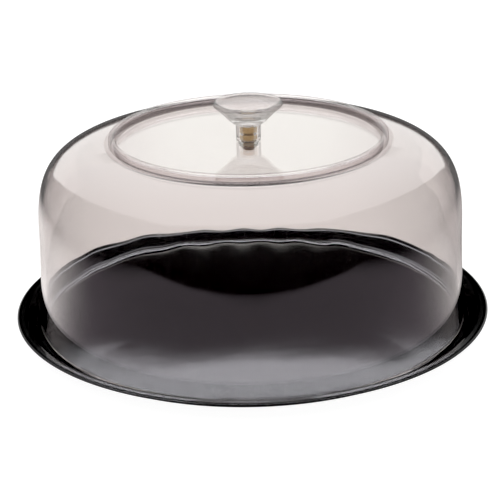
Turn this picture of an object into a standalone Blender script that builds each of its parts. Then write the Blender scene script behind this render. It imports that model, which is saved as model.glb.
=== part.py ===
"""Round clear display cover standing on a black serving tray.

Frame: sizes in millimetres, meshes in metres, +Z up.  The origin is the centre
of the tray's foot ring, on the table.  The cover lifts straight up along +Z.

Pieces
  tray          black moulded plate: flat floor, steep wall, flat flange, foot ring
  dome_shell    clear moulded cover: tapered wall, deep shoulder, flat top panel
                sunk inside a raised hollow ring, hole for the knob screw
  knob          clear turned knob: shallow bowl on a straight stem, blind hole
  knob_insert   knurled brass bush with a through bore, set in the knob's stem
  knob_screw    pan-head machine screw, up through the panel into the insert
  flat_washer   steel washer under the panel, next to the screw's head
  seal_washer   soft clear washer between the steel washer and the panel

Every body is a profile of (radius, height) points spun round Z.
"""
import bpy
import bmesh
import math

MM = 0.001
GAP = 0.3               # running gap left between touching pieces

# Facets round each body
SEG_BIG = 64            # tray and cover
SEG_MID = 36            # knob
SEG_SMALL = 32          # insert, screw and washers

for old in list(bpy.data.objects):
    bpy.data.objects.remove(old, do_unlink=True)


# -------------------------------------------------------------------- helpers
def arc(centre_r, centre_z, radius, start, end, steps, radius_z=None):
    """steps + 1 points on an arc, angles in degrees; radius_z makes it elliptical."""
    radius_z = radius if radius_z is None else radius_z
    angles = [math.radians(start + (end - start) * i / steps) for i in range(steps + 1)]
    return [(centre_r + radius * math.cos(angle), centre_z + radius_z * math.sin(angle))
            for angle in angles]


def bezier(p0, p1, p2, p3, steps):
    """steps + 1 points on a cubic Bezier curve."""
    points = []
    for i in range(steps + 1):
        t = i / steps
        u = 1.0 - t
        points.append(tuple(u * u * u * a + 3 * u * u * t * b + 3 * u * t * t * c + t * t * t * d
                            for a, b, c, d in zip(p0, p1, p2, p3)))
    return points


def link(name, data):
    obj = bpy.data.objects.new(name, data)
    bpy.context.scene.collection.objects.link(obj)
    return obj


def turned(name, profile, segments, mat, closed, sharp=40.0):
    """Spins a profile (radius, height) round Z into one closed body.

    closed=True is a ring whose profile is a loop; closed=False starts and ends
    on the axis.  Edges steeper than `sharp` degrees are shaded sharp.
    """
    bm = bmesh.new()
    verts = [bm.verts.new((r * MM, 0.0, z * MM)) for r, z in profile]
    edges = [bm.edges.new(pair) for pair in zip(verts, verts[1:])]
    if closed:
        edges.append(bm.edges.new((verts[-1], verts[0])))
    bmesh.ops.spin(bm, geom=verts + edges, cent=(0, 0, 0), axis=(0, 0, 1),
                   angle=2 * math.pi, steps=segments, use_merge=True, use_duplicate=False)
    # Points on the axis come out once per step: merge them into one pole
    bmesh.ops.remove_doubles(bm, verts=bm.verts, dist=1e-6)
    bmesh.ops.dissolve_degenerate(bm, dist=1e-7, edges=bm.edges)
    bmesh.ops.recalc_face_normals(bm, faces=bm.faces)
    # Consistent normals can still all point inward
    if bm.calc_volume(signed=True) < 0:
        bmesh.ops.reverse_faces(bm, faces=bm.faces)

    mesh = bpy.data.meshes.new(name)
    bm.to_mesh(mesh)
    bm.free()
    mesh.shade_smooth()
    mesh.set_sharp_from_angle(angle=math.radians(sharp))
    mesh.materials.append(mat)
    return link(name, mesh)


# ------------------------------------------------------------------ materials
def material(name, colour, roughness, metallic=0.0, transmission=0.0):
    mat = bpy.data.materials.new(name)
    mat.use_nodes = True
    inputs = mat.node_tree.nodes["Principled BSDF"].inputs
    inputs["Base Color"].default_value = (*colour, 1.0)
    inputs["Roughness"].default_value = roughness
    inputs["Metallic"].default_value = metallic
    inputs["Transmission Weight"].default_value = transmission
    mat.diffuse_color = (*colour, 1.0)
    return mat


black_plastic = material("black_gloss_plastic", colour=(0.006, 0.006, 0.007), roughness=0.12)
clear_plastic = material("clear_plastic", colour=(0.93, 0.90, 0.895), roughness=0.03,
                         transmission=0.9)
clear_knob = material("clear_knob_plastic", colour=(0.95, 0.93, 0.91), roughness=0.03,
                      transmission=0.9)
brass = material("brass", colour=(0.62, 0.42, 0.22), roughness=0.32, metallic=1.0)
steel = material("zinc_plated_steel", colour=(0.62, 0.61, 0.60), roughness=0.28, metallic=1.0)
soft_clear = material("clear_vinyl", colour=(0.80, 0.79, 0.77), roughness=0.35,
                      transmission=0.5)

# ----------------------------------------------------------------------- tray
TRAY_R = 170.0          # outer radius of the lip
FLANGE_Z = 13.5         # top of the flange where the wall meets it
FLANGE_RISE = 0.09      # the flange rises this much near its outer edge
EDGE_T = 1.05           # thickness of the flange's edge
FLOOR_Z = 6.0           # top face of the floor
FLOOR_T = 3.0
FLOOR_MID_R = 75.0      # ring of vertices part way across the floor
WALL_TILT = 51.0        # degrees from flat
CREST_R = 162.6         # where the lines of wall and flange meet
FILLET_R = 1.8          # rounding between floor and wall
CREST_ROUND = 0.9       # rounding between wall and flange
FOOT_R0 = 138.0         # foot ring, inner radius
FOOT_R1 = 144.0         # foot ring, outer radius
FOOT_DRAFT = 0.6        # the foot ring widens this much on each side at its top

# Flange's top edge, inward to outward: radius, height from FLANGE_Z
FLANGE_TOP = [(TRAY_R - 1.6, FLANGE_RISE), (TRAY_R - 0.6, -0.02), (TRAY_R, -0.45)]

# Underside of flange and wall, outward to inward: radius, height from the
# flange's lower edge
UNDERSIDE = [(TRAY_R, 0.25), (TRAY_R - 0.35, 0.0), (TRAY_R - 3.6, -0.2), (CREST_R + 1.2, -0.75),
             (161.3, -2.9), (158.9, -5.75), (156.2, -7.6)]
UNDERSIDE_END_R = 150.0  # where the underside reaches the bottom of the floor


def tray_profile():
    slope = math.radians(WALL_TILT)
    corner_r = CREST_R - (FLANGE_Z - FLOOR_Z) / math.tan(slope)
    fillet = arc(corner_r - FILLET_R * math.tan(slope / 2), FLOOR_Z + FILLET_R, FILLET_R,
                 -90, -90 + WALL_TILT, 3)
    crest = arc(CREST_R + CREST_ROUND * math.tan(slope / 2), FLANGE_Z - CREST_ROUND, CREST_ROUND,
                90 + WALL_TILT, 90, 2)
    flange = [(r, FLANGE_Z + z) for r, z in FLANGE_TOP]
    under = [(r, FLANGE_Z - EDGE_T + z) for r, z in UNDERSIDE]
    floor_low = FLOOR_Z - FLOOR_T
    foot = [(UNDERSIDE_END_R, floor_low),
            (FOOT_R1 + FOOT_DRAFT, floor_low), (FOOT_R1, 0.0),
            (FOOT_R0, 0.0), (FOOT_R0 - FOOT_DRAFT, floor_low),
            (0.0, floor_low)]
    return [(0.0, FLOOR_Z), (FLOOR_MID_R, FLOOR_Z)] + fillet + crest + flange + under + foot


turned("tray", tray_profile(), SEG_BIG, black_plastic, closed=False)

# ----------------------------------------------------------------- dome shell
RIM_Z = 12.0                # reference height, a little under the flange's lower edge
DOME_LOW = FLOOR_Z + GAP    # bottom edge of the cover
DOME_BASE_R = 153.2         # outer radius at the bottom edge
DOME_WALL_R = 150.3         # outer radius where the shoulder begins
WALL_EASE = 1.6             # exponent of the wall's taper: most of it is low down
EDGE_ROUND_H = 1.2          # the outer wall starts this far above the bottom edge
SHOULDER_Z = RIM_Z + 65.8
BROW_Z = RIM_Z + 125.9      # top of the shoulder, at the ring's outer foot

PANEL_Z = RIM_Z + 123.8     # top face of the flat panel
PANEL_T = 3.4
PANEL_LOW = PANEL_Z - PANEL_T
PANEL_MID_R = 45.0          # ring of vertices part way across the panel
HOLE_R = 2.75               # clearance hole through panel and washers

BEAD_R0 = 93.2              # raised ring round the panel, inner foot
BEAD_R1 = 98.2              # outer foot
BEAD_Z = RIM_Z + 130.3      # crest of the ring
BEAD_T = 1.5                # thickness of the hollow ring's walls and top
# Rounding of the ring's crest: inset from the foot radius, drop from the crest
BEAD_ROUND = [(0.15, 1.2), (0.6, 0.35), (1.5, 0.0)]

# Wall thickness, and the height where it applies
WALL_T0, WALL_Z0 = 3.1, FLOOR_Z
WALL_T1, WALL_Z1 = 3.0, RIM_Z + 35.0
WALL_T2, WALL_Z2 = 3.3, RIM_Z + 112.0


def dome_outer():
    """Outer side from the bottom edge up to the ring's outer foot."""
    start = DOME_LOW + EDGE_ROUND_H
    wall = []
    for i in range(4):
        t = i / 4
        taper = 1 - (1 - t) ** WALL_EASE
        wall.append((DOME_BASE_R + (DOME_WALL_R - DOME_BASE_R) * taper,
                     start + (SHOULDER_Z - start) * t))
    shoulder = bezier((DOME_WALL_R, SHOULDER_Z), (DOME_WALL_R, SHOULDER_Z + 43.3),
                      (BEAD_R1 + 41.3, BROW_Z - 6.0), (BEAD_R1, BROW_Z), 11)
    return wall + shoulder


def wall_thickness(z):
    """Linear up to WALL_Z1, then quadratic up to WALL_Z2, then constant."""
    if z < WALL_Z1:
        return WALL_T0 + (WALL_T1 - WALL_T0) * (z - WALL_Z0) / (WALL_Z1 - WALL_Z0)
    t = min(1.0, (z - WALL_Z1) / (WALL_Z2 - WALL_Z1))
    return WALL_T1 + (WALL_T2 - WALL_T1) * t * t


def offset_inward(points):
    """Moves each point in by the wall thickness, square to its neighbours' chord."""
    moved = []
    for i, (r, z) in enumerate(points):
        before = points[max(i - 1, 0)]
        after = points[min(i + 1, len(points) - 1)]
        dr, dz = after[0] - before[0], after[1] - before[1]
        chord = math.hypot(dr, dz)
        thick = wall_thickness(z)
        moved.append((r - dz / chord * thick, z + dr / chord * thick))
    return moved


def dome_profile():
    outer = dome_outer()
    bead = [(BEAD_R1, BROW_Z)]
    bead += [(BEAD_R1 - inset, BEAD_Z - drop) for inset, drop in BEAD_ROUND]
    bead += [(BEAD_R0 + inset, BEAD_Z - drop) for inset, drop in reversed(BEAD_ROUND)]
    bead += [(BEAD_R0, PANEL_Z)]
    panel = [(PANEL_MID_R, PANEL_Z), (HOLE_R, PANEL_Z),
             (HOLE_R, PANEL_LOW), (PANEL_MID_R, PANEL_LOW),
             (BEAD_R0 - 0.8, PANEL_LOW), (BEAD_R0 + 0.9, PANEL_LOW + 0.4)]
    # The ring is cored out from below, so its walls stay thin
    groove_r0, groove_r1 = BEAD_R0 + BEAD_T, BEAD_R1 - BEAD_T
    groove_top = BEAD_Z - BEAD_T
    groove = [(groove_r0 - 0.1, PANEL_LOW + 1.0), (groove_r0 + 0.1, groove_top - 0.5),
              (groove_r0 + 0.5, groove_top), (groove_r1 - 0.5, groove_top),
              (groove_r1 - 0.1, groove_top - 0.5), (groove_r1 + 0.1, BROW_Z - WALL_T2 - 0.2)]
    # Inner points too close to the groove are left out
    inside = [p for p in reversed(offset_inward(outer)) if p[0] > BEAD_R1 + 0.5]
    inner_r = DOME_BASE_R - WALL_T0
    edge = [(inner_r + 0.1, DOME_LOW + 1.0), (inner_r + 1.0, DOME_LOW),
            (DOME_BASE_R - 1.0, DOME_LOW)]
    return outer[:-1] + bead + panel + groove + inside + edge


dome_shell = turned("dome_shell", dome_profile(), SEG_BIG, clear_plastic, closed=True)

# ------------------------------------------------------- knob and brass insert
KNOB_Z = PANEL_Z + GAP          # bottom of the stem
KNOB_TOP = PANEL_Z + 28.2
KNOB_RIM_R = 24.5
KNOB_RIM_ROUND = 1.7            # rounding of the bowl's rim
BOWL_DEPTH = 8.2
STEM_R = 8.75
STEM_TOP = KNOB_Z + 12.3

INSERT_R = 4.0                  # over the knurl
INSERT_L = 10.0
INSERT_LIFT = 0.1               # insert's bottom above the stem's
BORE_R = 2.5                    # smooth bore, at the M5 thread's mean radius
BORE_CHAMFER = 0.5
WAIST_DEPTH = 0.8               # groove between the two knurled bands
KNURL_DEPTH = 0.28
HOLE_TOP = KNOB_Z + INSERT_L + GAP + 0.4


def knob_profile():
    bowl_z = KNOB_TOP - BOWL_DEPTH
    bowl = bezier((0.0, bowl_z), (9.0, bowl_z), (17.5, KNOB_TOP - 4.0),
                  (KNOB_RIM_R - 2.6, KNOB_TOP - 0.25), 6)
    rim = arc(KNOB_RIM_R - KNOB_RIM_ROUND, KNOB_TOP - KNOB_RIM_ROUND, KNOB_RIM_ROUND, 100, -50, 5)
    under = bezier((KNOB_RIM_R - 1.4, KNOB_TOP - 3.6), (KNOB_RIM_R - 8.5, KNOB_TOP - 9.0),
                   (STEM_R + 4.8, STEM_TOP + 1.2), (STEM_R + 1.0, STEM_TOP - 0.1), 5)
    stem = [(STEM_R, STEM_TOP - 0.5), (STEM_R - 0.05, KNOB_Z + 0.5), (STEM_R - 0.5, KNOB_Z)]
    hole_r = INSERT_R + GAP
    hole = [(hole_r, KNOB_Z), (hole_r, HOLE_TOP), (0.0, HOLE_TOP)]
    return bowl + rim + under + stem + hole


def insert_profile():
    low = KNOB_Z + INSERT_LIFT
    top = low + INSERT_L
    waist_low, waist_top = low + 3.8, low + 5.6
    waist_r = INSERT_R - WAIST_DEPTH
    return [(BORE_R + BORE_CHAMFER, top), (INSERT_R - 0.5, top), (INSERT_R, top - 0.6),
            (INSERT_R, waist_top), (waist_r, waist_top - 0.4),
            (waist_r, waist_low + 0.4), (INSERT_R, waist_low),
            (INSERT_R, low + 0.8), (INSERT_R - 0.4, low + 0.3), (INSERT_R - 0.4, low),
            (BORE_R + BORE_CHAMFER, low), (BORE_R, low + BORE_CHAMFER),
            (BORE_R, top - BORE_CHAMFER)]


def knurl(mesh):
    """Draws in every other vertex column of the outer bands: straight teeth."""
    step = 2 * math.pi / SEG_SMALL
    for vert in mesh.vertices:
        x, y, z = vert.co
        radius = math.hypot(x, y)
        column = round(math.atan2(y, x) / step)
        if radius > (INSERT_R - 0.05) * MM and column % 2:
            shrink = (radius - KNURL_DEPTH * MM) / radius
            vert.co = (x * shrink, y * shrink, z)
    mesh.update()


knob = turned("knob", knob_profile(), SEG_MID, clear_knob, closed=False)
knob_insert = turned("knob_insert", insert_profile(), SEG_SMALL, brass, closed=True, sharp=25.0)
knurl(knob_insert.data)

# -------------------------------------------------------------- screw, washers
SEAL_R = 7.0
SEAL_T = 1.2
WASHER_R = 6.2
WASHER_T = 1.1
SCREW_R = 2.15          # smooth M5 shank, at the thread's mean radius
SCREW_L = 15.5
HEAD_R = 4.8
HEAD_H = 3.1
HEAD_SIDE_H = 1.1       # straight side of the head, above its rounded face

# The stack hangs below the panel
SEAL_TOP = PANEL_LOW - GAP
WASHER_TOP = SEAL_TOP - SEAL_T - GAP
HEAD_TOP = WASHER_TOP - WASHER_T - GAP
HEAD_LOW = HEAD_TOP - HEAD_H

# Cross recess: height and half length of a blade at its mouth and its floor
RECESS_ENDS = [(HEAD_LOW - 0.5, 2.5), (HEAD_LOW + 1.7, 1.1)]
RECESS_HALF_W = 0.5


def screw_profile():
    tip = HEAD_TOP + SCREW_L
    shank = [(0.0, tip), (SCREW_R - 0.7, tip), (SCREW_R, tip - 0.8), (SCREW_R, HEAD_TOP)]
    head = arc(0.0, HEAD_TOP - HEAD_SIDE_H, HEAD_R, 0, -90, 6, radius_z=HEAD_H - HEAD_SIDE_H)
    return shank + [(HEAD_R, HEAD_TOP)] + head


def blade_mesh():
    """Blade along X, shorter towards the recess floor."""
    bm = bmesh.new()
    width = RECESS_HALF_W
    mouth, floor = [
        [bm.verts.new((x * MM, y * MM, z * MM))
         for x, y in ((half, width), (-half, width), (-half, -width), (half, -width))]
        for z, half in RECESS_ENDS]
    for i in range(4):
        j = (i + 1) % 4
        bm.faces.new((mouth[i], mouth[j], floor[j], floor[i]))
    bm.faces.new(mouth[::-1])
    bm.faces.new(floor)
    bmesh.ops.recalc_face_normals(bm, faces=bm.faces)
    mesh = bpy.data.meshes.new("recess_blade")
    bm.to_mesh(mesh)
    bm.free()
    return mesh


def cut_recess(screw):
    """Sinks two crossed blades into the head; returns the cutters."""
    cutters = []
    for index in range(2):
        cutter = link(f"recess_cutter_{index}", blade_mesh())
        cutter.rotation_euler.z = index * math.pi / 2
        cutter.hide_render = True
        cutter.display_type = 'WIRE'
        cut = screw.modifiers.new(f"recess_{index}", 'BOOLEAN')
        cut.operation = 'DIFFERENCE'
        cut.solver = 'EXACT'
        cut.object = cutter
        cutters.append(cutter)
    return cutters


def washer(name, outer, top, thick, mat, chamfer):
    low = top - thick
    profile = [(HOLE_R, top), (outer - chamfer, top), (outer, top - chamfer),
               (outer, low + chamfer), (outer - chamfer, low), (HOLE_R, low)]
    return turned(name, profile, SEG_SMALL, mat, closed=True, sharp=30.0)


knob_screw = turned("knob_screw", screw_profile(), SEG_SMALL, steel, closed=False, sharp=35.0)
cutters = cut_recess(knob_screw)
seal_washer = washer("seal_washer", SEAL_R, SEAL_TOP, SEAL_T, soft_clear, chamfer=0.25)
flat_washer = washer("flat_washer", WASHER_R, WASHER_TOP, WASHER_T, steel, chamfer=0.15)

# ------------------------------------------- the cover's pieces move as one set
lift_axis = link("cover_lift_axis", None)
lift_axis.location = (0.0, 0.0, FLOOR_Z * MM)
bpy.context.view_layer.update()  # matrix_world is stale until now
for piece in (dome_shell, knob, knob_insert, knob_screw, flat_washer, seal_washer, *cutters):
    piece.parent = lift_axis
    piece.matrix_parent_inverse = lift_axis.matrix_world.inverted()
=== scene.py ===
"""Clear domed display cover on a black tray, with a clear knob screwed on top.

Every piece is turned about the Z axis. The tray's foot stands on z = 0 and the front is -Y.
Lengths are in mm and become metres in the meshes; the studio and the camera are in metres.
"""
import math

import bmesh
import bpy
from mathutils import Matrix, Vector, noise


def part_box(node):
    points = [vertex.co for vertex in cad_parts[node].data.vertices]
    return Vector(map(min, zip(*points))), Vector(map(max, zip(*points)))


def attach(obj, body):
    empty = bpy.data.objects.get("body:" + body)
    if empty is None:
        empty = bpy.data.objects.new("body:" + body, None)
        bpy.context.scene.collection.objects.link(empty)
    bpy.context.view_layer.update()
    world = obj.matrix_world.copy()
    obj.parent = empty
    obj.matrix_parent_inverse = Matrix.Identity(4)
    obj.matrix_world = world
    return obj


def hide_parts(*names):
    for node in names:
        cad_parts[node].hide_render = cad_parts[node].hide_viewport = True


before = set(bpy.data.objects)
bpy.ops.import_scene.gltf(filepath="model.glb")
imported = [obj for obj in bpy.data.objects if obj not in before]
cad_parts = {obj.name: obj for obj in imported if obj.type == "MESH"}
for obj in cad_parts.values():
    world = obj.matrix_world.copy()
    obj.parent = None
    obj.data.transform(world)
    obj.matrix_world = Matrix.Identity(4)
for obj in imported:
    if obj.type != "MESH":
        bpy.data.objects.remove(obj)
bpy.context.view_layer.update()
MM = 0.001


# ------------------------------------------------------------- sizes from the frame
def mm_box(name):
    low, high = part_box(name)
    return [v / MM for v in low], [v / MM for v in high]


TRAY_R, _, TRAY_TOP = mm_box("tray")[1]
DOME_R, _, RING_TOP = mm_box("dome_shell")[1]
KNOB_LOW, KNOB_HIGH = mm_box("knob")
INSERT_LOW, INSERT_HIGH = mm_box("knob_insert")
SCREW_LOW, SCREW_HIGH = mm_box("knob_screw")
WASHER_LOW, WASHER_HIGH = mm_box("flat_washer")
SEAL_LOW, SEAL_HIGH = mm_box("seal_washer")

# tray
RIM_Z = TRAY_TOP - 1.59                  # the plane other heights are taken from
LIP_TOP = RIM_Z + 1.5                    # top of the inner wall, where the flange starts
LIP_T = 1.05                             # height of the flange's outer edge
FLOOR_Z = RIM_Z - 6.0
WALL_TILT = 51.0                         # degrees, the wall inside the flange
WALL_CREST_R = 162.6

# dome: wall, shoulder, hollow ring, flat panel inside the ring
DOME_BASE = FLOOR_Z + 0.3
WALL_R = 150.3                           # at the top of the wall
SHOULDER_Z = RIM_Z + 65.8
BROW_Z = RIM_Z + 125.9                   # top of the shoulder, at the ring's outer foot
FOOT_T, MID_T, BROW_T = 3.1, 3.0, 3.3    # wall thickness: foot, middle, top of the shoulder
MID_Z, THICK_Z = RIM_Z + 35.0, RIM_Z + 112.0     # where MID_T and BROW_T are reached
PANEL_Z = KNOB_LOW[2] - 0.3
PANEL_LOW = PANEL_Z - 3.4
RING_IN, RING_OUT = 93.2, 98.2
RING_T = 1.5                             # thickness of the hollow ring's walls
HOLE_R = 2.75                            # screw hole, in the panel and the washers

# knob and fixings
KNOB_R, _, KNOB_TOP = KNOB_HIGH
STEM_R, STEM_H = 8.75, 12.3
INSERT_R = INSERT_HIGH[0]
EMBED = 0.36                             # depth the insert's flutes bite into the knob
KNURL_TEETH = 44
THREAD_PITCH = 0.8
BORE_R = 2.5                             # middle of the insert's thread
THREAD_R = 2.2                           # the screw's thread, in its profile
HEAD_R = 4.8
HEAD_TOP = SCREW_LOW[2] + 3.1


# ------------------------------------------------------------- profile tools, points (radius, z)
def arc(centre_r, centre_z, radius, start, end, steps, height=None):
    """Points from the start to the end angle in degrees; height makes it elliptic."""
    height = radius if height is None else height
    angles = [math.radians(start + (end - start) * i / steps) for i in range(steps + 1)]
    return [(centre_r + radius * math.cos(angle), centre_z + height * math.sin(angle))
            for angle in angles]


def bezier(start, pull_start, pull_end, end, steps):
    points = []
    for i in range(steps + 1):
        done = i / steps
        left = 1 - done
        points.append(tuple(
            left ** 3 * a + 3 * left * left * done * b + 3 * left * done * done * c + done ** 3 * d
            for a, b, c, d in zip(start, pull_start, pull_end, end)))
    return points


def line(start, end, steps):
    return [(start[0] + (end[0] - start[0]) * i / steps,
             start[1] + (end[1] - start[1]) * i / steps) for i in range(steps + 1)]


def clean(profile, gap=1e-3):
    """Drops points that fall on the one before, and a last one that meets the first."""
    kept = []
    for point in profile:
        if not kept or math.dist(point, kept[-1]) > gap:
            kept.append(point)
    if math.dist(kept[0], kept[-1]) < gap:
        kept.pop()
    return kept


def unit(value):
    return max(0.0, min(1.0, value))


def zigzag(turns):
    """1 at whole turns, 0 halfway between."""
    return abs(2 * (turns % 1.0) - 1)


def thread(z, start, angle):
    return zigzag((z - start) / THREAD_PITCH - angle / math.tau)


# ------------------------------------------------------------- mesh tools
def link_object(name, data):
    made = bpy.data.objects.new(name, data)
    bpy.context.scene.collection.objects.link(made)
    return made


def turn_angles(segments):
    return [math.tau * k / segments for k in range(segments)]


def join_rows(body, rows, segments, closed=False):
    """Faces between neighbouring rings; a row of one vertex is a point on the axis."""
    pairs = list(zip(rows, rows[1:]))
    if closed:
        pairs.append((rows[-1], rows[0]))
    for row, following in pairs:
        for k in range(segments):
            m = (k + 1) % segments
            if len(row) == 1:
                corners = (row[0], following[k], following[m])
            elif len(following) == 1:
                corners = (row[k], following[0], row[m])
            else:
                corners = (row[k], following[k], following[m], row[m])
            body.faces.new(corners)


def finish_mesh(body, name):
    mesh = bpy.data.meshes.new(name)
    body.to_mesh(mesh)
    body.free()
    return mesh


def turned_piece(name, profile, segments, closed, sharp, material, cad,
                 shape=None, ride="cover"):
    """A turned body, handed to the frame in place of the CAD piece.

    shape(radius, z, angle, index) may move a point: it returns (radius, z).
    sharp is the angle in degrees above which an edge is left unsmoothed.
    """
    body = bmesh.new()
    rows = []
    for i, (radius, z) in enumerate(profile):
        if radius < 1e-6:
            rows.append([body.verts.new((0, 0, z * MM))])
            continue
        row = []
        for angle in turn_angles(segments):
            out, up = shape(radius, z, angle, i) if shape else (radius, z)
            row.append(body.verts.new(
                (out * math.cos(angle) * MM, out * math.sin(angle) * MM, up * MM)))
        rows.append(row)
    join_rows(body, rows, segments, closed)
    if body.calc_volume(signed=True) < 0:
        bmesh.ops.reverse_faces(body, faces=body.faces)
    mesh = finish_mesh(body, name)
    mesh.shade_smooth()
    mesh.set_sharp_from_angle(angle=math.radians(sharp))
    mesh.materials.append(material)
    piece = link_object(name, mesh)
    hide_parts(cad)
    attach(piece, ride)


# ------------------------------------------------------------- node tools
class NodeNet:
    """Fills one node tree. Except for node(), each method returns an output socket."""

    def __init__(self, tree):
        tree.nodes.clear()
        self.tree = tree

    def node(self, kind, inputs=None, **settings):
        """inputs maps a socket's name or index to a value or to a socket to link."""
        made = self.tree.nodes.new("ShaderNode" + kind)
        for key, value in settings.items():
            setattr(made, key, value)
        for key, value in (inputs or {}).items():
            if isinstance(value, bpy.types.NodeSocket):
                self.tree.links.new(value, made.inputs[key])
            else:
                made.inputs[key].default_value = value
        return made

    def add(self, kind, inputs=None, **settings):
        return self.node(kind, inputs, **settings).outputs[0]

    # sums
    def math(self, operation, *values):
        return self.add("Math", dict(enumerate(values)), operation=operation)

    def fold(self, operation, values, clamp=False):
        result = values[0]
        for value in values[1:]:
            result = self.math(operation, result, value)
        result.node.use_clamp = clamp
        return result

    def times(self, *values):
        return self.fold('MULTIPLY', values)

    def largest(self, *values):
        return self.fold('MAXIMUM', values)

    def minus(self, value, taken, clamp=False):
        return self.fold('SUBTRACT', (value, taken), clamp)

    def total(self, *terms, clamp=False):
        """Adds its terms up; a (value, weight) pair is multiplied out first."""
        values = [self.times(*term) if isinstance(term, tuple) else term for term in terms]
        return self.fold('ADD', values, clamp)

    def above(self, value, limit):
        return self.math('GREATER_THAN', value, limit)

    def below(self, value, limit):
        return self.math('LESS_THAN', value, limit)

    def size(self, value):
        return self.math('ABSOLUTE', value)

    # ramps
    def ramp(self, value, span, to=(0.0, 1.0)):
        """Smooth change between the two `to` values over the span."""
        inputs = {"Value": value, "From Min": span[0], "From Max": span[1],
                  "To Min": to[0], "To Max": to[1]}
        return self.add("MapRange", inputs, interpolation_type='SMOOTHSTEP')

    def ramp_mm(self, value, span, to=(0.0, 1.0)):
        return self.ramp(value, (span[0] * MM, span[1] * MM), to)

    def step(self, value, at, soft, to=(0.0, 1.0)):
        """A ramp centred on `at`, reaching `soft` either way."""
        return self.ramp(value, (at - soft, at + soft), to)

    # places and textures
    def place(self, owner=None):
        return self.node("TexCoord", object=owner).outputs["Object"]

    def split(self, vector):
        return self.node("SeparateXYZ", {0: vector}).outputs

    def join(self, *values):
        return self.add("CombineXYZ", dict(enumerate(values)))

    def turned_place(self):
        """Object coordinates, their x, y, z, and the distance from the Z axis."""
        place = self.place()
        x, y, z = self.split(place)
        return place, x, y, z, self.math('SQRT', self.total((x, x), (y, y)))

    def polar(self, x, y, z, radius, along):
        """(angle times along, radius, height), for marks that run round the axis."""
        return self.join(self.times(self.math('ARCTAN2', y, x), along), radius, z)

    def mapped(self, vector, scale=(1, 1, 1), rotation=(0, 0, 0)):
        return self.add("Mapping", {"Vector": vector, "Scale": scale, "Rotation": rotation})

    def noise(self, vector, scale, detail, rough, distortion=0.0):
        return self.node("TexNoise", {"Vector": vector, "Scale": scale, "Detail": detail,
                                      "Roughness": rough,
                                      "Distortion": distortion}).outputs["Fac"]

    def scratches(self, vector, scale, turn, width):
        """Thin hairlines: the lines where a stretched noise crosses its middle value."""
        stretched = self.mapped(vector, scale=(1.0, 0.08, 0.5), rotation=(0.3, 0.2, turn))
        grain = self.noise(stretched, scale, detail=1.5, rough=0.4, distortion=0.25)
        middle = 0.5
        return self.ramp(self.size(self.minus(grain, middle)), span=(0.0, width), to=(1.0, 0.0))

    # colours and shaders
    def mix_colour(self, factor, first, second):
        return self.node("Mix", {"Factor": factor, 6: first, 7: second},
                         data_type='RGBA').outputs[2]

    def mix_shader(self, factor, first, second):
        return self.add("MixShader", {0: factor, 1: first, 2: second})

    def bump(self, height, strength, distance):
        return self.add("Bump", {"Strength": strength, "Distance": distance, "Height": height})

    def principled(self, colour, rough, normal, **others):
        """others: further inputs, with underscores for the spaces in their names."""
        inputs = {"Base Color": colour, "Roughness": rough, "Normal": normal}
        inputs.update((key.replace("_", " "), value) for key, value in others.items())
        return self.add("BsdfPrincipled", inputs)

    def diffuse(self, colour):
        return self.add("BsdfDiffuse", {"Color": colour})

    def transparent(self, colour):
        return self.add("BsdfTransparent", {"Color": colour})

    def emission(self, colour, strength=1.0):
        return self.add("Emission", {"Color": colour, "Strength": strength})

    def light_path(self):
        return self.node("LightPath").outputs

    def bounced(self, path, kind):
        """1 once the ray has met that kind of surface: Glossy, Diffuse or Transmission."""
        return self.above(path[kind + " Depth"], 0.5)

    def outermost(self, path):
        """1 until the ray has gone through any plastic."""
        return self.below(path["Transmission Depth"], 0.5)

    def finish(self, shader, kind="OutputMaterial"):
        self.node(kind, {"Surface": shader})


def new_material(name):
    material = bpy.data.materials.new(name)
    material.use_nodes = True
    return material, NodeNet(material.node_tree)


# ------------------------------------------------------------- materials
FALL = (1.0, 0.0)                        # a ramp that goes down


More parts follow.
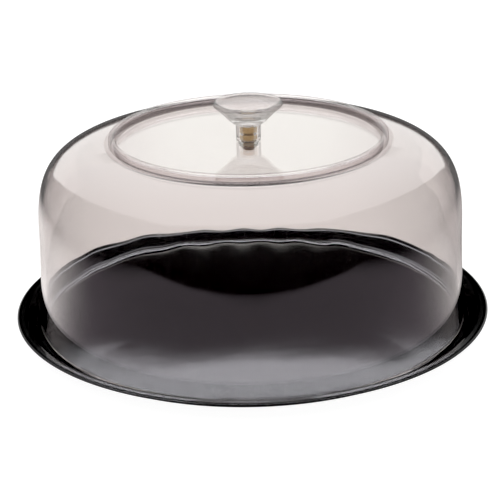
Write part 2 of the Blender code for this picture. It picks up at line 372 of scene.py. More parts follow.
def black_gloss():
    material, net = new_material("tray_black_gloss")
    place, _, _, z, radius = net.turned_place()
    fine = net.noise(place, scale=900.0, detail=2.0, rough=0.5)
    broad = net.noise(place, scale=14.0, detail=3.0, rough=0.55, distortion=0.4)
    hair_strength = 0.35
    hair = net.times(net.largest(net.scratches(place, scale=420.0, turn=0.4, width=0.006),
                                 net.scratches(place, scale=310.0, turn=2.1, width=0.005)),
                     hair_strength)
    worn = net.ramp_mm(z, span=(RIM_Z - 1.3, RIM_Z))     # the lip is handled most

    base = net.mix_colour(broad, (0.0008, 0.0007, 0.0009, 1), (0.0014, 0.0011, 0.0013, 1))
    hair_tint = 0.25
    base = net.mix_colour(net.times(hair, hair_tint), base, (0.03, 0.03, 0.032, 1))
    rough = net.total(0.020, (broad, 0.030), (hair, 0.10), (worn, 0.02), clamp=True)
    hair_depth = 0.02
    height = net.minus(net.total((broad, 1.0), (fine, 0.012)), net.times(hair, hair_depth))
    glossy = net.principled(base, rough, net.bump(height, strength=0.3, distance=0.0002), IOR=1.5)

    # painted shade: seen directly, the inner wall with its fillet, the flange's flat top, and the
    # flange's outer edge below its top are painted mostly matte black in place of their mirror
    # image
    wall = net.times(
        net.ramp_mm(radius, span=(WALL_CREST_R + 0.5, WALL_CREST_R + 1.0), to=FALL),
        net.ramp_mm(radius, span=(153.0, 153.5)))
    flat = net.times(
        net.ramp_mm(radius, span=(WALL_CREST_R + 4.2, WALL_CREST_R + 4.9), to=(0.0, 0.96)),
        net.ramp_mm(radius, span=(TRAY_R - 1.15, TRAY_R - 0.85), to=FALL))
    edge = net.times(net.ramp_mm(z, span=(LIP_TOP - 0.50, LIP_TOP - 0.32), to=(0.94, 0.0)),
                     net.ramp_mm(radius, span=(165.0, 165.5)))
    path = net.light_path()
    bands = net.times(net.largest(wall, flat, edge), net.outermost(path))
    band_strength = 0.93
    # painted shade: a second mirror image inside the first is painted matte black
    dull = net.largest(net.times(bands, band_strength), net.bounced(path, "Glossy"))
    net.finish(net.mix_shader(dull, glossy, net.diffuse(base)))
    return material


def clear_plastic(name, tint, deep, haze, thin, pale=0.0, wear_span=None, haze_span=None,
                  wide=0.0, foot=None):
    """Clear moulded plastic: bends light as a real wall, tinted by what it absorbs, with
    hairlines. Lamp rays pass it by the same tint, as they nearly do.

    tint, deep  colour, varying between the two      haze   milkiness of the outer skin
    thin        share of light that passes unbent    pale   more of it, on mirrored rays
    wide        more of it away from the axis        wear_span  z in mm, rough below it
    haze_span   radii in mm that bound the skin      foot   z in metres, no mirror below it
    """
    material, net = new_material(name)
    place, _, _, z, radius = net.turned_place()
    broad = net.noise(place, scale=9.0, detail=2.0, rough=0.5, distortion=0.3)
    fine = net.noise(place, scale=700.0, detail=2.0, rough=0.5)
    hair = net.largest(net.scratches(place, scale=110.0, turn=0.9, width=0.008),
                       net.scratches(place, scale=75.0, turn=-0.7, width=0.007))
    colour = net.mix_colour(broad, tint, deep)
    rough = net.total(0.004, (hair, 0.06), (fine, 0.006))
    if wear_span is not None:
        rough = net.total(rough, (net.ramp_mm(z, span=wear_span, to=FALL), 0.10))
    hair_depth = 0.001
    normal = net.bump(net.minus(broad, net.times(hair, hair_depth)),
                      strength=0.25, distance=0.00006)
    bent = net.principled(colour, rough, normal, IOR=1.49, Transmission_Weight=1.0)

    path = net.light_path()
    skin = net.outermost(path)
    if haze_span is not None:
        inner, outer = haze_span
        skin = net.times(skin, net.ramp_mm(radius, span=(inner - 0.3, inner)),
                         net.ramp_mm(radius, span=(outer, outer + 1.6), to=FALL))
    part = net.total(thin, (pale, net.bounced(path, "Glossy")))
    if wide:
        part = net.total(part, net.ramp_mm(radius, span=(9.5, 12.0), to=(0.0, wide)), clamp=True)
    # light that came in unbent goes out unbent
    leave = net.times(net.outermost(path), net.node("NewGeometry").outputs["Backfacing"])
    if foot is not None:                 # a face pressed on its neighbour does not mirror
        leave = net.largest(leave, net.ramp(z, span=(foot - 0.0001, foot), to=FALL))
    unbent = net.largest(net.times(skin, part), leave)
    soft = net.mix_shader(unbent, bent, net.transparent(colour))
    milk = net.diffuse((0.96, 0.945, 0.955, 1))
    hazy = net.mix_shader(net.times(skin, haze, net.minus(1.0, leave)), soft, milk)
    net.finish(net.mix_shader(path["Is Shadow Ray"], hazy, net.transparent(colour)))
    return material


def brass_knurled():
    material, net = new_material("insert_brass")
    place, x, y, z, radius = net.turned_place()
    broad = net.noise(place, scale=380.0, detail=4.0, rough=0.6, distortion=0.6)
    fine = net.noise(place, scale=3000.0, detail=2.0, rough=0.5)
    turned = net.noise(net.mapped(net.polar(x, y, z, radius, along=0.002)),
                       scale=9000.0, detail=2.0, rough=0.5)
    crest = net.ramp_mm(radius, span=(INSERT_R - 0.35, INSERT_R))
    base = net.mix_colour(net.ramp(broad, span=(0.35, 0.7)),
                          (0.58, 0.40, 0.21, 1), (0.40, 0.25, 0.13, 1))
    crest_tint, crest_polish = 0.6, 0.08             # the tooth tips are paler and smoother
    base = net.mix_colour(net.times(crest, crest_tint), base, (0.83, 0.66, 0.42, 1))
    rough = net.minus(net.total(0.24, (broad, 0.22)), net.times(crest, crest_polish), clamp=True)
    normal = net.bump(net.total((turned, 0.6), (fine, 0.4)), strength=0.4, distance=0.00003)
    metal = net.principled(base, rough, normal, Metallic=1.0)
    # the fine knurl scatters as much as it mirrors
    # painted shade: the matte part's colour darkens toward the groove and the roots of the teeth
    dull = net.diffuse(net.mix_colour(net.ramp_mm(radius, span=(INSERT_R - 0.7, INSERT_R - 0.2)),
                                      (0.30, 0.18, 0.08, 1), (1.0, 0.74, 0.39, 1)))
    dull_share = 0.65
    net.finish(net.mix_shader(dull_share, metal, dull))
    return material


def zinc_steel(name, light, dark, edge_radius):
    material, net = new_material(name)
    place, x, y, z, radius = net.turned_place()
    broad = net.noise(place, scale=420.0, detail=4.0, rough=0.6, distortion=0.8)
    fine = net.noise(place, scale=2600.0, detail=2.0, rough=0.5)
    rings = net.noise(net.polar(x, y, z, radius, along=0.0015),
                      scale=5200.0, detail=2.0, rough=0.5)
    edge = net.ramp_mm(radius, span=(edge_radius - 0.4, edge_radius))
    base = net.mix_colour(net.ramp(broad, span=(0.3, 0.7)), light, dark)
    edge_tint, edge_polish = 0.5, 0.06               # the outer edge is paler and smoother
    base = net.mix_colour(net.times(edge, edge_tint), base, (0.82, 0.81, 0.79, 1))
    rough = net.minus(net.total(0.20, (broad, 0.20)), net.times(edge, edge_polish), clamp=True)
    normal = net.bump(net.total((rings, 0.6), (fine, 0.4)), strength=0.4, distance=0.00002)
    net.finish(net.principled(base, rough, normal, Metallic=1.0))
    return material


def vinyl():
    material, net = new_material("seal_vinyl")
    place = net.place()
    broad = net.noise(place, scale=260.0, detail=3.0, rough=0.55, distortion=0.4)
    fine = net.noise(place, scale=1800.0, detail=3.0, rough=0.6)
    base = net.mix_colour(broad, (0.86, 0.85, 0.82, 1), (0.74, 0.73, 0.69, 1))
    rough = net.total(0.30, (fine, 0.2))
    normal = net.bump(net.total((broad, 0.5), (fine, 0.5)), strength=0.4, distance=0.00004)
    net.finish(net.principled(base, rough, normal, IOR=1.52, Transmission_Weight=0.7))
    return material


TRAY_BLACK = black_gloss()
DOME_CLEAR = clear_plastic(
    "dome_clear", tint=(0.925, 0.893, 0.890, 1), deep=(0.905, 0.868, 0.868, 1),
    wear_span=(DOME_BASE, FLOOR_Z + 2.0), haze=0.08, thin=0.55,
    haze_span=(RING_IN, RING_OUT + 2.4))
KNOB_CLEAR = clear_plastic(
    "knob_clear", tint=(0.965, 0.955, 0.945, 1), deep=(0.95, 0.938, 0.928, 1),
    haze=0.06, thin=0.25, pale=0.40, wide=0.10, foot=(KNOB_LOW[2] + 0.2) * MM)
BRASS = brass_knurled()
SCREW_STEEL = zinc_steel("screw_zinc", light=(0.62, 0.61, 0.60, 1), dark=(0.50, 0.50, 0.50, 1),
                         edge_radius=HEAD_R)
WASHER_STEEL = zinc_steel("washer_zinc", light=(0.60, 0.60, 0.59, 1),
                          dark=(0.48, 0.48, 0.47, 1), edge_radius=6.2)
SEAL_VINYL = vinyl()


# ------------------------------------------------------------- tray
def tray_profile():
    """From the middle of the floor over the flange, round the foot, back to the axis."""
    fillet_r, crest_r = 2.2, 0.9
    flange_z = LIP_TOP + 0.09
    edge_low = LIP_TOP - LIP_T
    under_z = FLOOR_Z - 3.0
    top = [(0.0, FLOOR_Z)] + line((8.0, FLOOR_Z), (154.6, FLOOR_Z), 22)

    # tight fillet, steep wall, then a nearly flat flange with a thin rounded edge
    slope = math.radians(WALL_TILT)
    corner = WALL_CREST_R - (LIP_TOP - FLOOR_Z) / math.tan(slope)
    fillet_start = corner - fillet_r * math.tan(slope / 2)
    fillet = [(fillet_start + fillet_r * math.sin(slope * k / 9),
               FLOOR_Z + fillet_r * (1 - math.cos(slope * k / 9))) for k in range(10)]
    crest_end = WALL_CREST_R + crest_r * math.tan(slope / 2)
    crest = [(crest_end - crest_r * math.sin(slope * k / 8),
              LIP_TOP - crest_r * (1 - math.cos(slope * k / 8))) for k in range(8, -1, -1)]
    wall = line(fillet[-1], crest[0], 8)[1:-1]
    flange = bezier((crest_end + 0.2, LIP_TOP + 0.01), (163.7, LIP_TOP + 0.04),
                    (164.1, flange_z), (164.7, flange_z), 5)
    flange += line((165.2, flange_z), (TRAY_R - 1.7, flange_z), 5)
    edge = bezier((TRAY_R - 1.5, flange_z), (TRAY_R - 0.8, flange_z),
                  (TRAY_R - 0.15, LIP_TOP - 0.05), (TRAY_R - 0.02, LIP_TOP - 0.45), 12)
    edge += arc(TRAY_R - 0.35, edge_low + 0.32, 0.35, 0, -90, 5, 0.32)

    under = line((TRAY_R - 0.8, edge_low - 0.02), (TRAY_R - 3.6, edge_low - 0.2), 4)
    under += bezier((TRAY_R - 4.4, edge_low - 0.3), (TRAY_R - 6.0, edge_low - 0.5),
                    (WALL_CREST_R + 0.6, edge_low - 1.2), (161.3, edge_low - 2.9), 8)
    under += bezier((159.6, edge_low - 5.0), (158.0, edge_low - 6.7),
                    (156.5, FLOOR_Z - 1.5), (150.0, under_z), 12)
    foot = line((146.0, under_z), (145.0, under_z), 2) + arc(144.9, 2.4, 0.6, 90, 180, 4)[1:]
    foot += [(144.05, 0.5)] + arc(143.5, 0.45, 0.5, 0, -90, 5, 0.45)
    foot += [(141.0, 0.0)] + arc(138.5, 0.45, 0.5, -90, -180, 5, 0.45)
    foot += arc(137.1, 2.4, 0.6, 0, 90, 4)
    base = line((136.0, under_z), (8.0, under_z), 16) + [(0.0, under_z)]
    return clean(top + fillet + wall + crest + flange + edge + under + foot + base)


def tray_shape(radius, z, angle, _index):
    """A moulded plate is never quite flat or round: the lip wanders by a tenth or two."""
    share = unit((radius - 140.0) / 25.0)
    rise = share * (0.10 * math.sin(2 * angle + 0.6) + 0.05 * math.sin(5 * angle + 2.0) - 0.15)
    spread = share * (0.10 * math.sin(3 * angle + 1.0) - 0.10)
    if z <= FLOOR_Z - 2.9:
        rise = 0.0
    elif z <= FLOOR_Z - 0.5:
        rise *= 0.5
    return radius + spread, z + rise


turned_piece("tray_plate", tray_profile(), segments=288, closed=False, sharp=45.0,
             material=TRAY_BLACK, cad="tray", shape=tray_shape, ride="tray")


# ------------------------------------------------------------- dome
FOOT_OUT, FOOT_IN = 1.2, 1.3             # rounding of the foot, outside and inside


def dome_outer():
    """The outside, from above the foot to the ring."""
    wall_steps = 26
    start = DOME_BASE + FOOT_OUT
    points = []
    for i in range(wall_steps):
        share = i / wall_steps
        points.append((DOME_R + (WALL_R - DOME_R) * (1 - (1 - share) ** 1.6),
                       start + (SHOULDER_Z - start) * share))
    return points + bezier((WALL_R, SHOULDER_Z), (WALL_R, SHOULDER_Z + 43.3),
                           (RING_OUT + 41.3, BROW_Z - 6.0), (RING_OUT + 0.45, BROW_Z - 0.06), 60)


def wall_thickness(z):
    if z < MID_Z:
        return FOOT_T + (MID_T - FOOT_T) * (z - DOME_BASE) / (MID_Z - DOME_BASE)
    return MID_T + (BROW_T - MID_T) * unit((z - MID_Z) / (THICK_Z - MID_Z)) ** 2


def dome_inner(outer):
    """The outside set in by the wall's thickness."""
    inner = []
    for i, (radius, z) in enumerate(outer):
        before, after = outer[max(i - 1, 0)], outer[min(i + 1, len(outer) - 1)]
        run, rise = after[0] - before[0], after[1] - before[1]
        length = math.hypot(run, rise)
        thickness = wall_thickness(z)
        inner.append((radius - rise / length * thickness, z + run / length * thickness))
    return inner


def ring_outside():
    middle = (RING_IN + RING_OUT) / 2
    corner = 1.25
    top, corner_z, wall_top = RING_TOP, RING_TOP - corner - 0.03, RING_TOP - corner - 0.25
    ring = [(RING_OUT + 0.15, BROW_Z + 0.04), (RING_OUT + 0.03, BROW_Z + 0.18)]
    ring += line((RING_OUT, BROW_Z + 0.45), (RING_OUT - 0.12, wall_top), 5)
    ring += arc(RING_OUT - 0.15 - corner, corner_z, corner, 4, 84, 10)
    ring += bezier((middle + 0.75, top - 0.01), (middle + 0.3, top),
                   (middle - 0.3, top), (middle - 0.75, top - 0.01), 4)
    ring += arc(RING_IN + 0.15 + corner, corner_z, corner, 96, 176, 10)
    ring += line((RING_IN + 0.12, wall_top), (RING_IN, PANEL_Z + 0.5), 7)
    return ring + [(RING_IN - 0.05, PANEL_Z + 0.18), (RING_IN - 0.25, PANEL_Z + 0.03),
                   (RING_IN - 0.5, PANEL_Z)]


def ring_core():
    """The ring is cored out from below, so its walls stay thin."""
    inner, outer, roof = RING_IN + RING_T, RING_OUT - RING_T, RING_TOP - RING_T
    core = bezier((RING_IN - 1.2, PANEL_LOW), (RING_IN + 0.2, PANEL_LOW),
                  (inner - 0.4, PANEL_LOW + 0.1), (inner - 0.15, PANEL_LOW + 0.7), 6)
    core += line((inner - 0.12, PANEL_LOW + 1.0), (inner + 0.12, roof - 0.9), 8)
    core += arc(inner + 0.13 + 0.7, roof - 0.7, 0.7, 176, 94, 6)
    core += arc(outer - 0.13 - 0.7, roof - 0.7, 0.7, 86, 4, 6)
    core += line((outer - 0.12, roof - 0.9), (outer + 0.08, BROW_Z - 3.6), 6)
    return core + [(outer + 0.35, BROW_Z - 3.75)]


def dome_profile(outer):
    panel = line((91.0, PANEL_Z), (4.0, PANEL_Z), 22)
    panel += [(HOLE_R + 0.25, PANEL_Z), (HOLE_R, PANEL_Z - 0.25)]
    panel += [(HOLE_R, PANEL_LOW + 0.25), (HOLE_R + 0.25, PANEL_LOW)]
    panel += line((4.0, PANEL_LOW), (RING_IN - 1.6, PANEL_LOW), 22)
    inside = [point for point in reversed(dome_inner(outer)) if point[0] > RING_OUT + 0.4]
    foot = arc(DOME_R - FOOT_T + FOOT_IN, DOME_BASE + FOOT_IN, FOOT_IN, 185, 270, 7)
    foot += arc(DOME_R - FOOT_OUT, DOME_BASE + FOOT_OUT, FOOT_OUT, 270, 358, 7)
    return clean(outer + ring_outside() + panel + ring_core() + inside + foot)


DOME_OUTER = dome_outer()


def wander(angle, around, height):
    """Smooth noise round the axis; around sets how fast it changes with the angle."""
    return noise.noise(Vector((math.cos(angle) * around, math.sin(angle) * around, height)))


def dome_shape(radius, z, angle, index):
    """The outside is nearly true; the inside wanders a little, which is what makes the
    wall swim when something dark is behind it."""
    if index < len(DOME_OUTER):
        share = unit((PANEL_Z - 1.0 - z) / 20.0)
        return radius - share * 0.05 * (1 + wander(angle, 1.6, z * 0.012)), z
    limit = PANEL_LOW - 1.35
    if z >= limit or radius >= DOME_R - 2.0:
        return radius, z
    share = unit((z - FLOOR_Z - 1.5) / 12.0) * unit((limit - z) / 8.0)
    shift = wander(angle, 2.6, z * 0.024) * (0.03 + 0.08 * unit((z - 45.0) / 40.0))
    shift += wander(angle, 4.8, z * 0.030 + 7.0) * 0.05 * unit((z - 55.0) / 40.0)
    # ripples on the shoulder, strongest at the front
    along = (z - RIM_Z - 113.0 + 136.0 - radius) / 1.414     # distance up the shoulder
    front = 0.12 + 0.88 * (0.5 - 0.5 * math.sin(angle)) ** 1.5
    fade = math.exp(-(along / 34.0) ** 2)
    waves = math.sin(0.17 * along) * math.sin(31 * angle + 5.0 * wander(angle, 1.3, 3.0))
    shift += 0.064 * front * fade * waves
    return radius + share * shift, z


turned_piece("dome_cover", dome_profile(DOME_OUTER), segments=384, closed=True, sharp=50.0,
             material=DOME_CLEAR, cad="dome_shell", shape=dome_shape)


# ------------------------------------------------------------- knob
def knob_profile():
    """From the middle of the hollow top, over the rim, down the stem, up the insert's hole."""
    low, top = KNOB_LOW[2], KNOB_TOP
    stem_top = low + STEM_H
    bowl = bezier((0.0, top - 8.2), (9.0, top - 8.2), (17.5, top - 4.0),
                  (KNOB_R - 2.6, top - 0.25), 34)
    rim = arc(KNOB_R - 1.7, top - 1.7, 1.7, 104, -50, 16)
    under = bezier((KNOB_R - 1.4, top - 3.6), (KNOB_R - 8.5, top - 9.0),
                   (STEM_R + 4.8, stem_top + 1.2), (STEM_R + 1.0, stem_top - 0.1), 26)
    stem = [(STEM_R + 0.55, stem_top - 0.35), (STEM_R, stem_top - 0.6)]
    stem += line((STEM_R, stem_top - 1.2), (STEM_R - 0.05, low + 0.6), 8)
    stem += [(STEM_R - 0.15, low + 0.25), (STEM_R - 0.5, low)]
    # the plastic closes on the insert's flutes, so the brass is seen without an air gap
    hole_r = INSERT_R - EMBED
    hole_top = INSERT_HIGH[2] + 0.3
    hole = line((STEM_R - 0.9, low), (INSERT_R + 0.3, low), 3) + [(INSERT_R - 0.1, low + 0.12)]
    hole += line((hole_r, low + 0.25), (hole_r, INSERT_HIGH[2] - 0.1), 8)
    hole += [(hole_r - 0.1, hole_top), (hole_r - 0.7, hole_top + 0.3), (0.0, hole_top + 0.3)]
    return clean(bowl + rim + under + stem + hole)


turned_piece("knob_clear_body", knob_profile(), segments=160, closed=False, sharp=30.0,
             material=KNOB_CLEAR, cad="knob")


# ------------------------------------------------------------- brass insert
def insert_profile():
    """Two knurled bands with a groove between, then the threaded bore."""
    low, high, radius = INSERT_LOW[2], INSERT_HIGH[2], INSERT_R
    groove_low, groove_high = low + 3.8, low + 5.6
    points = [(3.0, high), (radius - 0.55, high), (radius - 0.5, high - 0.05),
              (radius - 0.1, high - 0.5)]
    points += line((radius, high - 0.6), (radius, groove_high + 0.05), 7)
    points += [(radius - 0.05, groove_high), (radius - 0.75, groove_high - 0.35),
               (radius - 0.8, groove_high - 0.45), (radius - 0.8, groove_low + 0.45),
               (radius - 0.75, groove_low + 0.35), (radius - 0.05, groove_low)]
    points += line((radius, groove_low - 0.05), (radius, low + 0.85), 6)
    points += [(radius - 0.1, low + 0.7), (radius - 0.38, low + 0.35), (radius - 0.4, low + 0.05),
               (radius - 0.45, low), (3.0, low), (2.95, low + 0.02)]
    points += line((BORE_R, low + 0.45), (BORE_R, high - 0.45), 96)
    points += [(2.95, high - 0.02)]
    return clean(points)


def insert_shape(radius, z, angle, _index):
    if radius > INSERT_R - 0.12:         # straight knurl: V teeth, 0.3 mm deep
        return radius - 0.30 * zigzag(angle * KNURL_TEETH / math.tau), z
    if abs(radius - BORE_R) < 0.01:
        return radius - 0.28 + 0.56 * thread(z, INSERT_LOW[2], angle), z
    return radius, z


turned_piece("brass_bush", insert_profile(), segments=352, closed=True, sharp=28.0,
             material=BRASS, cad="knob_insert", shape=insert_shape)


# ------------------------------------------------------------- screw
def screw_profile():
    """From the tip, which points up, down the thread to the domed head."""
    tip = SCREW_HIGH[2]
    points = [(0.0, tip), (1.1, tip), (1.5, tip - 0.12)]
    points += line((THREAD_R, tip - 0.2), (THREAD_R, HEAD_TOP + 0.4), 150)
    points += [(2.3, HEAD_TOP + 0.15), (2.55, HEAD_TOP)]
    points += line((2.8, HEAD_TOP), (4.65, HEAD_TOP), 5)
    points += arc(4.65, HEAD_TOP - 0.15, 0.15, 80, 0, 3)
    points += [(HEAD_R, HEAD_TOP - 0.9)]
    points += arc(0.0, HEAD_TOP - 1.1, HEAD_R, 0, -90, 26, 2.0)[1:]
    return clean(points)


def screw_shape(radius, z, angle, _index):
    if abs(radius - THREAD_R) < 0.01:
        start = unit(SCREW_HIGH[2] - 0.2 - z)            # the thread fades in at the tip
        end = unit((z - HEAD_TOP - 0.4) / 0.8)           # and out at the head
        return 1.95 + 0.28 * start * end * thread(z, SCREW_LOW[2], angle), z
    if z < HEAD_TOP - 1.0 and radius < 3.2:
        # cross recess: four tapering wings sunk into the head's dome
        sides = abs(math.cos(angle)), abs(math.sin(angle))
        across, along = radius * min(sides), radius * max(sides)
        wing = unit((0.62 - across) / 0.14)
        reach = unit((2.55 - along) / 0.25)
        return radius, z + wing * reach * max(0.0, 1.75 - 0.45 * along)
    return radius, z


turned_piece("knob_fixing_screw", screw_profile(), segments=144, closed=False, sharp=32.0,
             material=SCREW_STEEL, cad="knob_screw", shape=screw_shape)


# ------------------------------------------------------------- washers
def washer(name, low, high, outer, ease, material, cad):
    """ease is the rounding of the outer edge."""
    points = [(HOLE_R + 0.1, high)] + line((HOLE_R + 0.4, high), (outer - ease - 0.2, high), 5)
    points += arc(outer - ease, high - ease, ease, 90, 0, 5)
    points += arc(outer - ease, low + ease, ease, 0, -90, 5)
    points += line((outer - ease - 0.2, low), (HOLE_R + 0.4, low), 5)
    points += [(HOLE_R + 0.1, low), (HOLE_R, low + 0.1), (HOLE_R, high - 0.1)]

    def shape(radius, z, angle, _index):
        wobble = 0.02 * math.sin(3 * angle + radius) if radius > outer - 1.0 else 0.0
        return radius - abs(wobble), z

    turned_piece(name, clean(points), segments=128, closed=True, sharp=40.0,
                 material=material, cad=cad, shape=shape)


washer("steel_washer", WASHER_LOW[2], WASHER_HIGH[2], WASHER_HIGH[0], ease=0.18,
       material=WASHER_STEEL, cad="flat_washer")
washer("vinyl_washer", SEAL_LOW[2], SEAL_HIGH[2], SEAL_HIGH[0], ease=0.35,
       material=SEAL_VINYL, cad="seal_washer")


# ------------------------------------------------------------- studio
# The studio turns with the camera: an empty at the origin keeps its -Y to the camera, and
# floor and world read its axes, so x < 0 is on the left and y > 0 behind.
studio = link_object("studio_axes", None)

# the table; lengths in metres
TABLE_SEEN = (0.925, 0.895, 0.864, 1)    # through the clear plastic
TABLE_SIDE = 0.45                        # its half width there
TABLE_FRONT_TONE = (0.46, 0.40, 0.45, 1)         # in mirror images: before the object
TABLE_BESIDE_L = (1.12, 1.06, 1.05, 1)           # beside it
TABLE_BESIDE_R = (0.70, 0.66, 0.65, 1)
TABLE_BEHIND_L = (0.90, 0.85, 0.83, 1)           # behind it
TABLE_BEHIND_R = (0.52, 0.48, 0.47, 1)
TABLE_HALF, TABLE_FRONT, TABLE_BACK = 0.38, 0.35, 0.30   # half width, front and back edges
TABLE_BEYOND = (0.07, 0.07, 0.07, 1)     # past its edges, behind
BLACK = (0.0, 0.0, 0.0, 1)               # past its edges, in front

# the softbox overhead; angles in degrees up from the back horizon
BOX_LIGHT, BOX_FADE = 1.12, 0.85         # strength, and its share left at the sides
BOX_BACK, BOX_FRONT = 24.95, 111.0       # its edges
BOX_FLARE = (1.85, 1.50)                 # widening with height: left side, right side
BOX_SIDE = dict(span=(0.96, 1.04), to=FALL)      # its soft side edges
BOX_LIP, LIP_TO = (2.9, 3.1, 3.3), 70.0  # red, green, blue gain, up to this angle

# the backdrop under it
BACK_LIGHT = (1.15, 1.15, 1.13, 1)
BACK_MIDDLE = (1.34, 1.41, 1.35, 1)
BACK_LOW, BACK_TOP = 6.0, 20.5           # degrees
GAP_SIDE = 0.20                          # dark gap under the softbox, half width / distance
SEEN_SIDE = 0.20                         # pale ground through the plastic, the same

# the room around, as it mirrors, lights dull surfaces, and is seen through the plastic
ROOM, ROOM_SOFT, ROOM_SEEN = 0.003, 0.75, 0.06
INNER = (0.58, 0.55, 0.54, 1)            # light left after many turns inside the plastic
INNER_SHARE = 0.8
WHITE = (1.0, 1.0, 1.0, 1)               # the world as the camera sees it


def lost_inside(net, path):
    """Share of INNER: for rays mirrored twice or more that went through plastic."""
    twice = net.above(path["Glossy Depth"], 1.5)
    return net.times(twice, net.bounced(path, "Transmission"), INNER_SHARE)


def floor_material():
    material, net = new_material("floor_pale")
    position = net.node("NewGeometry").outputs["Position"]
    x, y, _ = net.split(net.place(studio))
    path = net.light_path()

    # seen directly, or lighting dull surfaces
    grain = net.noise(position, scale=40.0, detail=3.0, rough=0.5)
    base = net.mix_colour(grain, (0.24, 0.24, 0.24, 1), (0.26, 0.26, 0.26, 1))
    plain = net.add("AddShader", {0: net.diffuse(base), 1: net.emission((0.95, 0.95, 0.95, 1))})

    # seen through the plastic: a little dimmer to either side
    strength = net.times(net.step(net.size(x), at=TABLE_SIDE, soft=0.05, to=FALL),
                         net.ramp(x, span=(0.07, 0.15), to=(1.0, 0.93)),
                         net.ramp(x, span=(-0.15, -0.07), to=(0.96, 1.0)))
    through = net.emission(TABLE_SEEN, strength)

    # seen in a mirror image
    table = net.times(net.step(net.size(x), at=TABLE_HALF, soft=0.13, to=FALL),
                      net.step(y, at=-TABLE_FRONT, soft=0.02),
                      net.step(y, at=TABLE_BACK, soft=0.12, to=FALL))

    def left_right(left, right):
        return net.mix_colour(net.ramp(x, span=(-0.10, 0.10)), left, right)

    behind = left_right(TABLE_BEHIND_L, TABLE_BEHIND_R)
    beside = left_right(TABLE_BESIDE_L, TABLE_BESIDE_R)
    tone = net.mix_colour(net.ramp(y, span=(0.04, 0.13)), beside, behind)
    tone = net.mix_colour(net.ramp(y, span=(-0.11, 0.03)), TABLE_FRONT_TONE, tone)
    beyond = net.mix_colour(net.ramp(y, span=(0.0, 0.06)), BLACK, TABLE_BEYOND)
    tone = net.mix_colour(table, beyond, tone)
    mirror = net.emission(net.mix_colour(lost_inside(net, path), tone, INNER))

    direct = net.largest(path["Is Camera Ray"], net.bounced(path, "Diffuse"))
    shader = net.mix_shader(net.bounced(path, "Glossy"), through, mirror)
    net.finish(net.mix_shader(direct, shader, plain))
    return material


def build_floor():
    """A disc 80 m across, just under z = 0."""
    segments, z = 96, -0.0002
    body = bmesh.new()
    rows = [[body.verts.new((0, 0, z))]]
    for radius in (0.4, 1.2, 4.0, 40.0):
        rows.append([body.verts.new((radius * math.cos(angle), radius * math.sin(angle), z))
                     for angle in turn_angles(segments)])
    join_rows(body, rows, segments)
    floor = link_object("floor", finish_mesh(body, "floor"))
    floor.data.materials.append(floor_material())


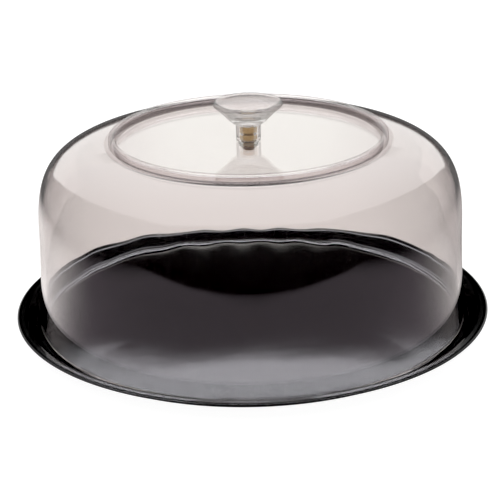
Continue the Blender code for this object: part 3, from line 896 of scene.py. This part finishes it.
def build_world():
    world = bpy.data.worlds.new("studio")
    bpy.context.scene.world = world
    world.use_nodes = True
    net = NodeNet(world.node_tree)
    x, y, z = net.split(net.place(studio))
    path = net.light_path()
    crossings = path["Transmission Depth"]
    least = 0.001                        # keeps the divisors above zero
    # degrees: 0 back, 90 up, 180 front
    elevation = net.times(net.math('ARCTAN2', z, y), 180 / math.pi)
    aside = net.math('DIVIDE', net.size(x), net.largest(y, least))

    # the softbox narrows toward the back, so its sides are planes through the object
    flare = net.ramp(x, span=(-0.05, 0.05), to=BOX_FLARE)
    reach = net.largest(net.total(y, (z, flare)), least)
    side = net.math('DIVIDE', net.times(net.size(x), 2.0), reach)
    box = net.times(net.step(elevation, at=BOX_BACK, soft=0.55),
                    net.step(elevation, at=BOX_FRONT, soft=1.5, to=FALL),
                    net.ramp(side, **BOX_SIDE))

    # the backdrop, with the gap above it closed for rays a few turns into the plastic
    within = net.times(net.above(crossings, 0.5), net.below(crossings, 3.5))
    closed = net.largest(net.step(elevation, at=BACK_TOP, soft=0.5, to=FALL),
                         net.step(aside, at=GAP_SIDE, soft=0.06), within)
    back = net.times(closed, net.step(elevation, at=BACK_LOW, soft=1.2),
                     net.ramp(elevation, span=(BOX_BACK + 0.2, BOX_BACK + 1.4), to=FALL),
                     net.ramp(side, **BOX_SIDE))
    backdrop = net.mix_colour(net.ramp(aside, span=(0.035, 0.10)), BACK_MIDDLE, BACK_LIGHT)

    # rays that met a glossy or dull surface see the backdrop, the others pale ground
    bounced = net.above(net.total(path["Glossy Depth"], path["Diffuse Depth"]), 0.5)
    ground = net.times(net.ramp(elevation, span=(-2.0, -1.0)),
                       net.step(elevation, at=BACK_TOP, soft=0.5, to=FALL),
                       net.step(aside, at=SEEN_SIDE, soft=0.08, to=FALL))
    seen = net.total((bounced, back), (net.minus(1.0, bounced), ground))
    room = net.total((bounced, ROOM), (net.minus(1.0, bounced), ROOM_SEEN))
    room = net.largest(room, net.times(ROOM_SOFT, net.bounced(path, "Diffuse")))
    colour = net.mix_colour(seen, net.join(room, room, room),
                            net.mix_colour(bounced, TABLE_SEEN, backdrop))

    # the softbox is stronger toward the back for rays that crossed the plastic four times
    fall = net.ramp(side, span=(0.1, 1.0), to=(BOX_LIGHT, BOX_LIGHT * BOX_FADE))
    lip = net.times(net.above(crossings, 3.5), net.step(elevation, at=LIP_TO, soft=0.8, to=FALL))
    tone = net.join(*[net.times(fall, net.total(1.0, (lip, gain - 1.0))) for gain in BOX_LIP])
    colour = net.mix_colour(box, colour, tone)
    colour = net.mix_colour(lost_inside(net, path), colour, INNER)
    colour = net.mix_colour(path["Is Camera Ray"], colour, WHITE)
    net.finish(net.add("Background", {"Color": colour}), kind="OutputWorld")


build_floor()
build_world()

# ------------------------------------------------------------- camera
ELEVATION, ROLL = math.radians(21.128), math.radians(-1.2795)
DISTANCE = 1.200
TARGET = Vector((-0.00075, 0.0, 0.04094 + RIM_Z * MM))
BLACK_LEVEL = 0.005                      # deepens the darkest tones of the picture

camera_data = bpy.data.cameras.new("camera")
camera = link_object("camera", camera_data)
camera_data.sensor_width = 36.0
camera_data.lens = 119.96136
camera_data.clip_start = 0.02
camera_data.clip_end = 100.0
away = Vector((0.0, -math.cos(ELEVATION), math.sin(ELEVATION)))
look = (-away).to_track_quat('-Z', 'Y').to_matrix().to_4x4()
camera.matrix_world = (Matrix.Translation(TARGET + away * DISTANCE) @ look
                       @ Matrix.Rotation(ROLL, 4, 'Z'))
bpy.context.scene.camera = camera

face = studio.constraints.new('LOCKED_TRACK')
face.target = camera
face.track_axis = 'TRACK_NEGATIVE_Y'
face.lock_axis = 'LOCK_Z'

view = bpy.context.scene.view_settings
view.view_transform = 'Standard'
view.look = 'None'
view.use_curve_mapping = True
view.curve_mapping.black_level = (BLACK_LEVEL,) * 3
view.curve_mapping.update()
